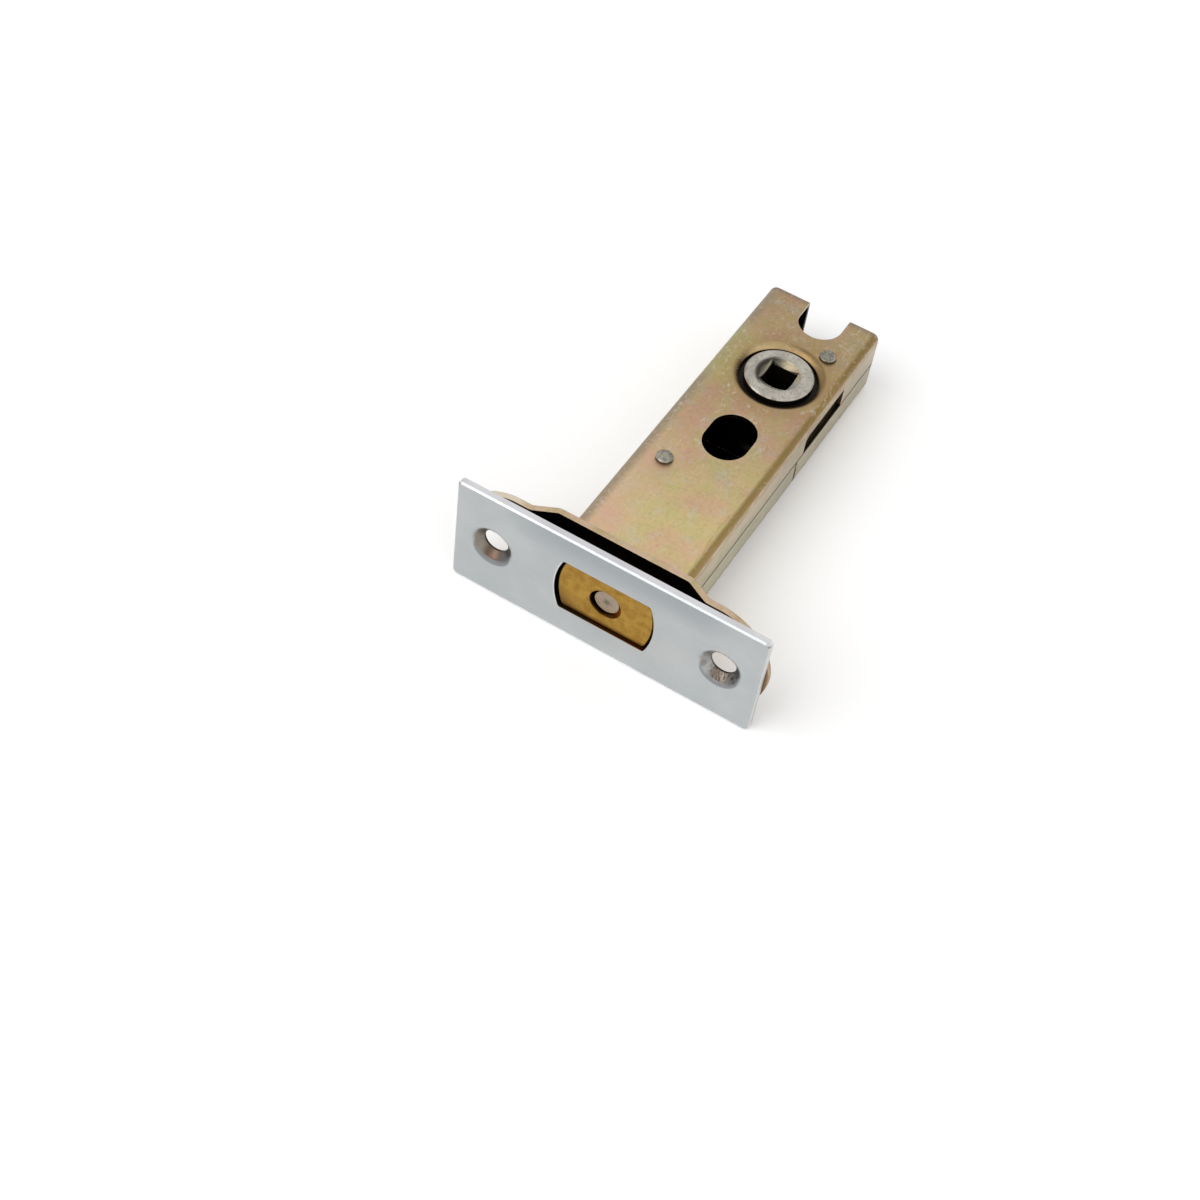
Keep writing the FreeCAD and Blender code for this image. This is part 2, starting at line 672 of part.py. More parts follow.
def make_upper_shell():
    body = new_body("upper_shell")
    fold_channel(body, "", STRIP_BACK, CASE_END)
    close_end(body, "")
    draw_dish(body, "")
    cut_fixing_hole(body, "")
    cut_rivet_hole(body, "front_rivet", FRONT_RIVET, "")
    cut_rivet_hole(body, "rear_rivet", REAR_RIVET, "")
    relief = new_sketch(body, "cam_relief_outline", "YZ_Plane")
    front = f"(sizes.backset - {RELIEF_REACH} - sizes.relief_lead)"
    back = f"(sizes.backset + {RELIEF_REACH})"
    top = f"({CAM_HIGH} + sizes.relief_headroom)"
    add_outline(
        relief,
        [
            (front, "-sizes.seam_drop - sizes.seam_gap"),
            (back, "-sizes.seam_drop - sizes.seam_gap"),
            (back, top),
            (f"({front} + sizes.relief_corner)", top),
            (front, f"({top} - sizes.relief_corner)"),
        ],
    )
    pocket(body, "cam_relief", relief, CASE_HALF, reverse=True)
    lips = new_sketch(body, "spring_slots_outline", "YZ_Plane")
    for place in lip_places():
        half = "(sizes.spring_thickness / 2 + sizes.spring_lip_gap)"
        low = "(sizes.spring_lip_height - sizes.spring_lip_width / 2 - sizes.spring_lip_gap)"
        high = "(sizes.spring_lip_height + sizes.spring_lip_width / 2 + sizes.spring_lip_gap)"
        add_box(lips, f"({place} - {half})", low, f"({place} + {half})", high)
    pocket(body, "spring_slots", lips, CASE_HALF)
    add_tabs(body, "")
    return body


def lip_places():
    """Distances from the forend's face to the middles of the spring's two lips."""
    reach = f"({SPRING_END} - sizes.spring_thickness / 2)"
    return [f"(sizes.backset - {reach})", f"(sizes.backset + {reach})"]


def cut_joint_step(body, front, back, low, high):
    """Take a stretch of the side walls away where the two lower shells hook together."""
    sketch = new_sketch(body, "joint_step_outline", "YZ_Plane")
    add_box(sketch, front, low, back, high)
    pocket(body, "joint_step", sketch, CLEAR, midplane=True)


def make_lower_shell():
    body = new_body("lower_shell")
    end = f"({JOINT_PLACE} + sizes.joint_step)"
    fold_channel(body, "-", STRIP_BACK, end)
    past_end = f"({end} + sizes.joint_step)"
    cut_joint_step(body, JOINT_PLACE, past_end, "-sizes.case_height", JOINT_STEP_FOOT)
    cut_fixing_hole(body, "-")
    cut_rivet_hole(body, "front_rivet", FRONT_RIVET, "-")
    add_tabs(body, "-")
    return body


def make_rear_cover():
    body = new_body("rear_cover")
    start = f"({JOINT_PLACE} + sizes.joint_gap)"
    fold_channel(body, "-", start, CASE_END)
    close_end(body, "-")
    step_end = f"({JOINT_PLACE} + sizes.joint_step + sizes.joint_gap)"
    foot = f"({JOINT_STEP_FOOT} - sizes.joint_gap)"
    cut_joint_step(body, f"({start} - sizes.joint_step)", step_end, foot, "0")
    draw_dish(body, "-")
    cut_rivet_hole(body, "rear_rivet", REAR_RIVET, "-")
    return body


def make_follower():
    """Turned about its own Z axis and set on the spindle line, its cam behind the spindle."""
    body = new_body("follower")
    section = new_sketch(body, "follower_section", "XZ_Plane")
    rise = [
        (CORE_RADIUS, "0"),
        (CORE_RADIUS, CORE_TOP),
        (JOURNAL_RADIUS, CORE_TOP),
        (JOURNAL_RADIUS, JOURNAL_TOP),
        (BOSS_RADIUS, JOURNAL_TOP),
        (BOSS_RADIUS, f"({BOSS_TOP} - sizes.boss_edge)"),
        (f"({BOSS_RADIUS} - sizes.boss_edge)", BOSS_TOP),
        ("0", BOSS_TOP),
    ]
    fall = [(across, minus(up)) for across, up in reversed(rise[1:])]
    add_outline(section, fall + rise[1:])
    turn(body, "Revolution", "follower_blank", section, (section, ["V_Axis"]))
    arm = new_sketch(body, "cam_outline", "XY_Plane", out=CAM_LOW)
    arm.setExpression("AttachmentOffset.Rotation.Angle", "sizes.cam_angle - 90")
    arm.setExpression("AttachmentOffset.Rotation.Axis.z", "1")
    add_cam_outline(arm)
    pad(body, "cam", arm, "sizes.cam_thickness")
    flats = new_sketch(body, "detent_flats_outline", "XY_Plane")
    far = f"(2 * {CORE_RADIUS})"
    add_outline(
        flats,
        [
            (minus(far), minus(far)),
            (far, minus(far)),
            (far, minus(FLAT_PLACE)),
            (minus(FLAT_PLACE), minus(FLAT_PLACE)),
            (minus(FLAT_PLACE), far),
            (minus(far), far),
        ],
    )
    pocket(body, "detent_flats", flats, "sizes.spring_height + 2 * sizes.spring_gap", midplane=True)
    square = new_sketch(body, "square_outline", "XY_Plane")
    half = "sizes.square_hole / 2"
    add_box(square, minus(half), minus(half), half, half)
    pocket(body, "square", square, CLEAR, midplane=True)
    sink = new_sketch(body, "square_sink_section", "XZ_Plane")
    add_outline(
        sink,
        [
            ("0", f"({BOSS_TOP} - sizes.square_sink_depth)"),
            ("sizes.square_hole / 2", f"({BOSS_TOP} - sizes.square_sink_depth)"),
            ("sizes.square_sink / 2", BOSS_TOP),
            ("0", BOSS_TOP),
        ],
    )
    groove = turn(body, "Groove", "square_sink", sink, (sink, ["V_Axis"]))
    other = body.newObject("PartDesign::Mirrored", "other_square_sink")
    other.Originals = [groove]
    plane = next(item for item in body.Origin.OriginFeatures if item.Role == "XY_Plane")
    other.MirrorPlane = (plane, [""])
    body.Tip = other
    body.setExpression("Placement.Base.x", "sizes.spindle_offset")
    body.setExpression("Placement.Base.y", "sizes.backset")
    doc.recompute()
    return body


def add_cam_outline(sketch):
    """The cam along the sketch's Y: a neck out from the axis and a round nose at its end."""
    neck = "(sizes.cam_neck / 2)"
    meet = f"({CAM_RADIUS} - sqrt(sizes.cam_nose * sizes.cam_nose - {neck} * {neck}))"
    reach = FreeCAD.Vector(0, value(CAM_RADIUS), 0)
    dip = math.asin(value(neck) / value("sizes.cam_nose")) - math.pi / 2
    circle = Part.Circle(reach, FreeCAD.Vector(0, 0, 1), value("sizes.cam_nose"))
    nose = sketch.addGeometry(Part.ArcOfCircle(circle, dip, math.pi - dip))
    corners = [(minus(neck), meet), (minus(neck), "0"), (neck, "0"), (neck, meet)]
    points = [FreeCAD.Vector(value(across), value(along), 0) for across, along in corners]
    left = sketch.addGeometry(Part.LineSegment(points[0], points[1]))
    foot = sketch.addGeometry(Part.LineSegment(points[1], points[2]))
    right = sketch.addGeometry(Part.LineSegment(points[2], points[3]))
    for before, after in ((nose, left), (left, foot), (foot, right), (right, nose)):
        sketch.addConstraint(Sketcher.Constraint("Coincident", before, 2, after, 1))
    bind_point(sketch, nose, 3, ("0", CAM_RADIUS))
    bind_radius(sketch, nose, "sizes.cam_nose")
    bind_point(sketch, left, 2, corners[1])
    bind_point(sketch, right, 1, corners[2])
    for end, across in ((1, minus(neck)), (2, neck)):
        line = left if end == 1 else right
        bind(sketch, "DistanceX", line, end, across)


def make_bolt_head():
    body = new_body("bolt_head")
    section = new_sketch(body, "bolt_section", "XZ_Plane", out="-sizes.bolt_recess")
    places, ends = double_d(BOLT_HALF, BOLT_TOP, "sizes.bolt_end_radius")
    add_outline(section, places, ends)
    pad(body, "bolt_bar", section, "sizes.bolt_length", reverse=True)
    round_edges(body, "bolt_corners", "Y", places, "sizes.bolt_corner")
    break_face(body, "bolt_front_edges", "sizes.bolt_recess", "sizes.bolt_edge", lambda box: True)
    sink = new_sketch(body, "spigot_bore_section", "XY_Plane")
    floor = "(sizes.bolt_recess + sizes.counterbore_depth)"
    add_outline(
        sink,
        [
            ("0", "sizes.bolt_recess"),
            ("sizes.counterbore_diameter / 2", "sizes.bolt_recess"),
            ("sizes.counterbore_diameter / 2", floor),
            ("sizes.spigot_diameter / 2", floor),
            ("sizes.spigot_diameter / 2", BOLT_BACK),
            ("0", BOLT_BACK),
        ],
    )
    turn(body, "Groove", "spigot_bore", sink, (sink, ["V_Axis"]))
    return body


def make_bolt_tail():
    """A bent strip: its foot is riveted across the bolt's back, its arm runs to the cam."""
    body = new_body("bolt_tail")
    section = new_sketch(body, "tail_section", "XY_Plane")
    foot_back = f"({BOLT_BACK} + sizes.tail_thickness)"
    add_outline(
        section,
        [
            ("-sizes.tail_foot", BOLT_BACK),
            (TAIL_OUTER, BOLT_BACK),
            (TAIL_OUTER, TAIL_BACK),
            (TAIL_INNER, TAIL_BACK),
            (TAIL_INNER, foot_back),
            ("-sizes.tail_foot", foot_back),
        ],
    )
    tail_height = f"(2 * ({CASE_CEILING} - sizes.tail_top_gap))"
    pad(body, "tail_strip", section, tail_height, midplane=True)
    round_edges(body, "tail_inner_bend", "Z", [(TAIL_INNER, foot_back)], "sizes.tail_bend")
    outer_bend = "sizes.tail_bend + sizes.tail_thickness"
    round_edges(body, "tail_outer_bend", "Z", [(TAIL_OUTER, BOLT_BACK)], outer_bend)
    window = new_sketch(body, "drive_window_outline", "YZ_Plane")
    low = f"({CAM_LOW} - sizes.cam_gap)"
    high = f"({CAM_HIGH} + sizes.cam_gap)"
    add_box(window, DRIVE_FRONT, low, DRIVE_BACK, high)
    pocket(body, "drive_window", window, CASE_HALF, reverse=True)
    hole = new_sketch(body, "spigot_hole_outline", "XZ_Plane", out=minus(BOLT_BACK))
    add_circle(hole, ("0", "0"), "sizes.spigot_neck / 2")
    pocket(body, "spigot_hole", hole, "sizes.tail_thickness", reverse=False)
    return body


def make_tail_spigot():
    """The rivet along the bolt's axis that holds the tail, its plain end seen in the bolt's face."""
    body = new_body("tail_spigot")
    section = new_sketch(body, "spigot_section", "XY_Plane")
    front = "(sizes.bolt_recess + sizes.spigot_recess)"
    foot_back = f"({BOLT_BACK} + sizes.tail_thickness)"
    radius = "(sizes.spigot_diameter / 2)"
    add_outline(
        section,
        [
            ("0", front),
            (f"({radius} - sizes.spigot_edge)", front),
            (radius, f"({front} + sizes.spigot_edge)"),
            (radius, BOLT_BACK),
            ("sizes.spigot_neck / 2", BOLT_BACK),
            ("sizes.spigot_neck / 2", foot_back),
            ("sizes.spigot_head / 2", foot_back),
            ("sizes.spigot_head / 2", f"({foot_back} + sizes.spigot_head_height / 2)"),
            ("sizes.spigot_neck / 2", f"({foot_back} + sizes.spigot_head_height)"),
            ("0", f"({foot_back} + sizes.spigot_head_height)"),
        ],
    )
    turn(body, "Revolution", "spigot", section, (section, ["V_Axis"]))
    return body


def make_rivet(name, place):
    """A straight pin through the case with a low head formed on each face."""
    body = new_body(name)
    section = new_sketch(body, "rivet_section", "XZ_Plane")
    head = "(sizes.rivet_head / 2)"
    crown = f"({CASE_TOP} + sizes.rivet_head_height)"
    rise = [
        ("sizes.rivet_diameter / 2", CASE_TOP),
        (head, CASE_TOP),
        (head, f"({crown} - sizes.rivet_edge)"),
        (f"({head} - sizes.rivet_edge)", crown),
        ("0", crown),
    ]
    fall = [(place, minus(up)) for place, up in reversed(rise)]
    add_outline(section, fall + rise)
    turn(body, "Revolution", "rivet", section, (section, ["V_Axis"]))
    body.setExpression("Placement.Base.x", place[0])
    body.setExpression("Placement.Base.y", place[1])
    doc.recompute()
    return body


def make_detent_spring():
    """A bowed leaf against the case's far wall that bears on the follower's flats."""
    body = new_body("detent_spring")
    bearing = f"({FLAT_PLACE} + sizes.spring_gap - sizes.spindle_offset)"
    rise = f"({CASE_INNER} - {bearing} - sizes.spring_thickness)"
    places, hollow, outer = bridge_places(
        "sizes.spring_flat_half",
        "sizes.spring_run",
        rise,
        SPRING_END,
        "sizes.spring_thickness",
    )

    def on_wall(points):
        return [
            (f"({up} - {CASE_INNER})", f"(sizes.backset - ({across}))") for across, up in points
        ]

    section = new_sketch(body, "spring_section", "XY_Plane")
    add_outline(section, on_wall(places))
    pad(body, "spring_leaf", section, "sizes.spring_height", midplane=True)
    round_edges(body, "spring_inner_bends", "Z", on_wall(hollow), "sizes.spring_bend")
    outer_radius = "sizes.spring_bend + sizes.spring_thickness"
    round_edges(body, "spring_outer_bends", "Z", on_wall(outer), outer_radius)
    lips = new_sketch(body, "spring_lips_outline", "YZ_Plane", out=minus(CASE_INNER))
    for place in lip_places():
        low = "(sizes.spring_lip_height - sizes.spring_lip_width / 2)"
        high = "(sizes.spring_lip_height + sizes.spring_lip_width / 2)"
        half = "sizes.spring_thickness / 2"
        add_box(lips, f"({place} - {half})", low, f"({place} + {half})", high)
    pad(body, "spring_lips", lips, "sizes.case_wall", reverse=True)
    return body


bodies = [
    make_forend_plate(),
    make_inner_strip(),
    make_upper_shell(),
    make_lower_shell(),
    make_rear_cover(),
    make_bolt_head(),
    make_bolt_tail(),
    make_tail_spigot(),
    make_follower(),
    make_detent_spring(),
    make_rivet("front_rivet", FRONT_RIVET),
    make_rivet("rear_rivet", REAR_RIVET),
]
doc.recompute()

for item in doc.Objects:
    if "Invalid" in item.State or "Error" in item.State:
        raise RuntimeError(f"{item.Label} did not compute: {item.State}")
for body in bodies:
    shape = body.Shape
    if shape.isNull() or not shape.isValid() or len(shape.Solids) != 1:
        raise RuntimeError(f"{body.Label} is not one valid solid")

os.makedirs("parts", exist_ok=True)
for body in bodies:
    body.Shape.exportStep(os.path.join("parts", f"{body.Label}.step"))
    box = body.Shape.BoundBox
    print(
        f"{body.Label:14s} {body.Shape.Volume:9.2f} mm3  "
        f"X {box.XMin:7.2f} {box.XMax:7.2f}  Y {box.YMin:7.2f} {box.YMax:7.2f}  "
        f"Z {box.ZMin:7.2f} {box.ZMax:7.2f}"
    )
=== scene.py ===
import json
import math

import bpy
from mathutils import Matrix, Vector

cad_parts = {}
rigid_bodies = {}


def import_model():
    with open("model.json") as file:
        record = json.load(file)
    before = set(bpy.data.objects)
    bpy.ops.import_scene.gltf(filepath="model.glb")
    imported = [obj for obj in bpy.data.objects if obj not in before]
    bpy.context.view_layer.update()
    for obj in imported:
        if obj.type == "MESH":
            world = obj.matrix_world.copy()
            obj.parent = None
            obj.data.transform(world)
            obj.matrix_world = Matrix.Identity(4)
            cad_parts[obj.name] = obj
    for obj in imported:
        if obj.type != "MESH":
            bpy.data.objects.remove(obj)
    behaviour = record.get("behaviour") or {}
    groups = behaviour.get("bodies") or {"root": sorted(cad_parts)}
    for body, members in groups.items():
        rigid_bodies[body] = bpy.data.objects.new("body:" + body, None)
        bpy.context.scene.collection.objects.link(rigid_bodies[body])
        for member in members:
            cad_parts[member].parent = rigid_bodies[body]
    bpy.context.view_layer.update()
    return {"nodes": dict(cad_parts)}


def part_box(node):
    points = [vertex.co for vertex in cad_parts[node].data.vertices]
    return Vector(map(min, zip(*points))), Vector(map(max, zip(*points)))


# Looks of a tubular mortice deadbolt. All lengths named here are millimetres, as are the
# places inside materials, which are those of the CAD's own frame.

MM_PER_METRE = 1000.0

FOREND_THICKNESS = 1.4
FOREND_HALF = 30.0
SCREW_PLACE = 22.5
SCREW_HOLE_RADIUS = 2.4
DIMPLE_RADIUS = 5.3
CUTOUT_ARC_CENTRE = (5.25, 0.0)
CUTOUT_RADIUS = 15.2
BRIDGE_HALF = 17.0
CASE_HALF = 11.55
CASE_TOP = 6.85
CASE_END = 81.1
SEAM = -0.3
JOINT = 49.33
JOINT_FOOT = -2.2
SPINDLE = (0.9, 60.0)
FIXING = (0.9, 41.0)
FOLLOWER_FACE_RADIUS = 6.5
SQUARE_SINK_RADIUS = 4.1
COUNTERBORE_RADIUS = 3.1

# Edges are smooth up to the first angle and bevelled from the second on, in degrees.
SMOOTH_UP_TO = 28
BEVEL_FROM = 32
EDGE_WIDTHS = {"upper_shell": 0.08, "lower_shell": 0.08, "rear_cover": 0.08, "inner_strip": 0.1}

# Noise seldom leaves this range.
NOISE_RANGE = (0.3, 0.7)

WHITE = (1.0, 1.0, 1.0, 1.0)
PAPER_GLOW = 0.16
SURROUNDINGS_LEVEL = 0.6

# The camera's place in metres, and its azimuth, elevation and roll in degrees.
CAMERA_PLACE = (0.084335, -0.192515, 0.264893)
CAMERA_ANGLES = (23.855, 51.388, 9.186)
FOCAL_PIXELS = 2005.64
PICTURE_PIXELS = 1200
SENSOR_WIDTH = 36.0


def colour(red, green, blue):
    """A display colour from 0 to 255 as a linear one."""
    channels = []
    for channel in (red, green, blue):
        share = channel / 255
        channels.append(share / 12.92 if share <= 0.04045 else ((share + 0.055) / 1.055) ** 2.4)
    return (*channels, 1.0)


class Finish:
    """A procedural material, put together from short calls. Places are millimetres."""

    def __init__(self, name):
        self.material = bpy.data.materials.new(name)
        self.material.use_nodes = True
        self.tree = self.material.node_tree
        self.shader = self.tree.nodes["Principled BSDF"]
        source = self.tree.nodes.new("ShaderNodeTexCoord")
        self.place = self.add(
            "ShaderNodeVectorMath",
            [source.outputs["Object"]],
            operation="SCALE",
            Scale=MM_PER_METRE,
        )
        self.x, self.y, self.z = self.split(self.place)
        self.nx, self.ny, self.nz = self.split(source.outputs["Normal"])

    def add(self, kind, values=(), out=0, **settings):
        """A node with its first inputs set or linked, and others by their names."""
        node = self.tree.nodes.new(kind)
        for key, setting in settings.items():
            if key[0].islower():
                setattr(node, key, setting)
        for index, item in enumerate(values):
            self.feed(node.inputs[index], item)
        for key, setting in settings.items():
            if key[0].isupper():
                self.feed(node.inputs[key], setting)
        return node.outputs[out]

    def feed(self, socket, item):
        """Link another node's output to a socket, or set the socket's value."""
        if isinstance(item, bpy.types.NodeSocket):
            self.tree.links.new(item, socket)
        else:
            socket.default_value = item

    def split(self, vector):
        """The three parts of a vector."""
        node = self.tree.nodes.new("ShaderNodeSeparateXYZ")
        self.tree.links.new(vector, node.inputs[0])
        return node.outputs[0], node.outputs[1], node.outputs[2]

    def math(self, operation, *values):
        return self.add("ShaderNodeMath", values, operation=operation)

    def off(self, item, middle):
        """How far a number lies from a middle one, either way."""
        return self.math("ABSOLUTE", self.math("SUBTRACT", item, middle))

    def rise(self, item, low, high):
        """0 up to low and 1 from high on, or from high down where low is the larger."""
        values = (item, low, high, 0.0, 1.0)
        if low > high:
            values = (item, high, low, 1.0, 0.0)
        return self.add("ShaderNodeMapRange", values, interpolation_type="SMOOTHSTEP")

    def chain(self, operation, masks):
        """Several numbers taken together, one after another."""
        total = masks[0]
        for mask in masks[1:]:
            total = self.math(operation, total, mask)
        return total

    def both(self, *masks):
        """1 where every mask is 1."""
        return self.chain("MULTIPLY", masks)

    def either(self, *masks):
        """1 where any mask is 1."""
        return self.chain("MAXIMUM", masks)

    def reach(self, across, up, centre=(0.0, 0.0)):
        """Distance from an axis, in the plane of two coordinates."""
        first = self.math("SUBTRACT", across, centre[0])
        second = self.math("SUBTRACT", up, centre[1])
        squares = [self.math("MULTIPLY", side, side) for side in (first, second)]
        return self.math("SQRT", self.math("ADD", *squares))

    def noise(self, size, seed=0.0, detail=3.0, rough=0.5, warp=0.0):
        """Noise of about 0 to 1 whose patches are size long, one number or three."""
        spans = size if isinstance(size, tuple) else (size, size, size)
        scale = tuple(1.0 / span for span in spans)
        vector = self.add("ShaderNodeVectorMath", [self.place, scale], operation="MULTIPLY")
        return self.noise_at(vector, seed, detail, rough, warp)

    def noise_at(self, vector, seed, detail, rough=0.5, warp=0.0):
        """Noise whose patches are about one unit of the vector."""
        return self.add(
            "ShaderNodeTexNoise",
            noise_dimensions="4D",
            Vector=vector,
            W=seed,
            Scale=1.0,
            Detail=detail,
            Roughness=rough,
            Distortion=warp,
        )

    def stretch(self, noise, low, high):
        """Noise spread from low to high."""
        return self.add("ShaderNodeMapRange", (noise, *NOISE_RANGE, low, high))

    def blend(self, first, first_share, second, second_share):
        """Two numbers added, each with its share."""
        parts = []
        for item, share in ((first, first_share), (second, second_share)):
            parts.append(self.math("MULTIPLY", item, share))
        return self.math("ADD", *parts)

    def mix(self, share, first, second, kind="MIX"):
        """The first colour where share is 0, going over to the second where it is 1."""
        node = self.tree.nodes.new("ShaderNodeMix")
        node.data_type = "RGBA"
        node.blend_type = kind
        for index, item in ((0, share), (6, first), (7, second)):
            self.feed(node.inputs[index], item)
        return node.outputs[2]

    def paint(self, under, mask, share, over):
        """Cover a tint by another where the mask is 1, to that share."""
        return self.mix(self.math("MULTIPLY", mask, share), under, over)

    def bump(self, height, depth):
        """A surface normal from a height of 0 to 1 that stands for depth."""
        node = self.tree.nodes.new("ShaderNodeBump")
        node.inputs["Strength"].default_value = 1.0
        node.inputs["Distance"].default_value = depth / MM_PER_METRE
        self.feed(node.inputs["Height"], height)
        return node.outputs[0]

    def worn(self, radius):
        """1 along sharp edges, 0 on the faces between."""
        rounded = self.add("ShaderNodeBevel", samples=4, Radius=radius / MM_PER_METRE)
        plain = self.tree.nodes.new("ShaderNodeNewGeometry").outputs["Normal"]
        dot = self.add("ShaderNodeVectorMath", [rounded, plain], out=1, operation="DOT_PRODUCT")
        return self.rise(dot, 0.99, 0.75)

    def finish(self, tint, metallic, roughness, normal=None):
        """Feed the shader, and hand over the material."""
        self.feed(self.shader.inputs["Base Color"], tint)
        self.feed(self.shader.inputs["Metallic"], metallic)
        self.feed(self.shader.inputs["Roughness"], roughness)
        if normal is not None:
            self.feed(self.shader.inputs["Normal"], normal)
        return self.material


def plated_steel():
    """Satin plate of the outer forend, stained and painted with shade inside its screw sinks,
    dull behind with painted shade behind the bridge, and painted light and shade on its top,
    front fillet and cut-out.
    """
    f = Finish("satin_plated_steel")
    cloud = f.noise(9.0, seed=1.0)
    grain = f.noise((6.0, 6.0, 0.12), seed=2.0, detail=4.0)
    fleck = f.noise(0.35, seed=3.0, detail=2.0)
    tint = f.mix(f.rise(cloud, 0.35, 0.7), colour(190, 194, 195), colour(199, 202, 202))
    tint = f.paint(tint, f.rise(grain, 0.45, 0.75), 0.5, colour(204, 207, 209))
    wide = f.math("ABSOLUTE", f.x)
    shade = f.both(f.rise(f.z, 5.0, 11.0), f.rise(f.x, -24.0, -10.0), f.rise(f.x, 27.0, 16.0))
    shade = f.both(shade, f.rise(cloud, 0.1, 0.5))
    tint = f.paint(tint, shade, 0.7, colour(162, 169, 174))
    end = f.both(f.rise(wide, FOREND_HALF - 0.8, FOREND_HALF - 0.2), f.rise(f.y, 0.0, 0.3))
    tint = f.mix(end, tint, colour(222, 223, 220))
    # Painted light: faces turned up are lighter.
    lit_top = f.mix(f.rise(cloud, 0.4, 0.6), colour(212, 212, 214), colour(202, 202, 205))
    tint = f.mix(f.rise(f.nz, 0.8, 0.95), tint, lit_top)
    # Painted shade as a dark line on the lower part of the front fillet, and a painted highlight
    # on its upper part.
    front_edge = f.rise(f.y, 1.0, 0.4)
    fillet_shade = f.both(f.rise(f.nz, 0.12, 0.22), f.rise(f.nz, 0.6, 0.42), front_edge)
    tint = f.paint(tint, fillet_shade, 0.7, colour(120, 124, 128))
    fillet_highlight = f.both(f.rise(f.nz, 0.6, 0.75), f.rise(f.nz, 0.99, 0.95), front_edge)
    tint = f.paint(tint, fillet_highlight, 0.8, colour(194, 196, 198))
    ring = f.reach(f.math("SUBTRACT", wide, SCREW_PLACE), f.z)
    # Stains and painted shade inside the screw sinks.
    in_sink = f.both(f.rise(ring, DIMPLE_RADIUS - 0.1, DIMPLE_RADIUS - 2.0), f.rise(f.y, 0.02, 0.5))
    tint = f.mix(in_sink, tint, sink_stain_and_shade(f))
    high = f.math("ABSOLUTE", f.z)
    # Painted shade: the cut-out's inner walls black, and dark olive to brown low down.
    cutout = f.both(f.rise(wide, 11.2, 10.9), f.rise(high, 7.0, 6.7), f.rise(f.y, 0.02, 0.08))
    wall = f.mix(f.rise(f.x, -7.0, 3.0), colour(66, 56, 34), colour(96, 64, 32))
    tint = f.mix(cutout, tint, f.mix(f.rise(f.z, -3.0, -5.5), colour(18, 15, 11), wall))
    # A painted highlight along the left arc of the cut-out's rim.
    arc = f.reach(f.x, f.z, CUTOUT_ARC_CENTRE)
    rim_highlight = f.both(f.rise(f.x, -7.6, -8.4), f.rise(arc, CUTOUT_RADIUS + 0.1, CUTOUT_RADIUS - 0.02))
    rim_highlight = f.both(rim_highlight, f.rise(high, 6.0, 5.2), f.rise(f.y, 0.1, 0.04))
    tint = f.paint(tint, rim_highlight, 0.6, colour(236, 238, 238))
    bore = f.both(
        f.rise(f.y, 1.6, 1.8),
        f.rise(ring, SCREW_HOLE_RADIUS + 0.2, SCREW_HOLE_RADIUS + 0.1),
        f.rise(f.ny, 0.8, 0.5),
    )
    # The back is dull, and painted shade darkens it behind the bridge.
    dull = f.mix(cloud, colour(138, 141, 142), colour(160, 163, 164))
    back = f.mix(f.rise(wide, BRIDGE_HALF + 3.0, BRIDGE_HALF), dull, colour(52, 48, 42))
    tint = f.mix(f.rise(f.ny, 0.5, 0.8), tint, back)
    tint = f.mix(bore, tint, colour(40, 36, 33))
    relief = f.bump(f.blend(grain, 0.6, fleck, 0.4), 0.006)
    return f.finish(tint, 0.92, f.stretch(fleck, 0.27, 0.38), relief)


def sink_stain_and_shade(f):
    """Beige on a sink's left, with painted shade that is brown low down and dark grey on its
    right, and dark threads.
    """
    left = f.rise(f.x, 1.0, -1.0)
    offset = f.math("SUBTRACT", f.math("ABSOLUTE", f.x), SCREW_PLACE)
    across = f.math("MULTIPLY", f.math("SIGN", f.x), offset)
    blotch = f.noise(1.4, seed=4.0, detail=3.0, warp=0.4)
    slope = f.mix(left, colour(180, 180, 178), colour(145, 136, 125))
    slope = f.paint(slope, f.rise(blotch, 0.42, 0.66), 0.8, colour(134, 129, 122))
    # Painted shade: browner low down and dark grey on the right side of each sink.
    low = f.both(f.rise(f.z, 0.2, -1.6), f.rise(across, -2.6, -1.0))
    mottle = f.mix(low, slope, f.mix(left, colour(124, 112, 102), colour(97, 85, 74)))
    right = f.rise(across, 0.6, 2.4)
    mottle = f.paint(mottle, right, 0.85, colour(104, 106, 108))
    patch = f.reach(across, f.z, (-0.2, -3.1))
    red = f.both(left, f.rise(patch, 1.5, 0.4), f.rise(blotch, 0.35, 0.6))
    mottle = f.paint(mottle, red, 0.55, colour(116, 88, 74))
    thread = f.noise((0.35, 1.1, 1.1), seed=6.0, detail=4.0, warp=0.8)
    marks = f.both(f.rise(thread, 0.51, 0.57), f.rise(f.x, 5.0, 15.0), low)
    return f.paint(mottle, marks, 0.85, colour(50, 42, 36))


def passivated(name, base, blush, leaf, seed):
    """Zinc plate with a yellow passivation that runs from tan to pink and yellow green."""
    f = Finish(name)
    wide = f.noise(8.0, seed=seed, detail=2.0, warp=0.4)
    patch = f.noise(4.2, seed=seed + 1.0, detail=2.5, warp=0.3)
    fine = f.noise(0.6, seed=seed + 2.0, detail=3.0)
    rolled = f.noise((0.5, 18.0, 0.5), seed=seed + 3.0, detail=4.0)
    tint = f.mix(f.rise(wide, 0.38, 0.62), base, blush)
    tint = f.paint(tint, f.rise(patch, 0.44, 0.68), 0.7, leaf)
    cool = f.noise(3.4, seed=seed + 4.0, detail=3.0, warp=0.4)
    tint = f.paint(tint, f.rise(cool, 0.5, 0.72), 0.5, colour(192, 190, 168))
    tint = f.paint(tint, f.rise(fine, 0.4, 0.8), 0.22, colour(126, 102, 70))
    tint = f.paint(tint, f.rise(rolled, 0.52, 0.75), 0.14, colour(222, 208, 180))
    return f, tint, (wide, patch, fine, rolled)


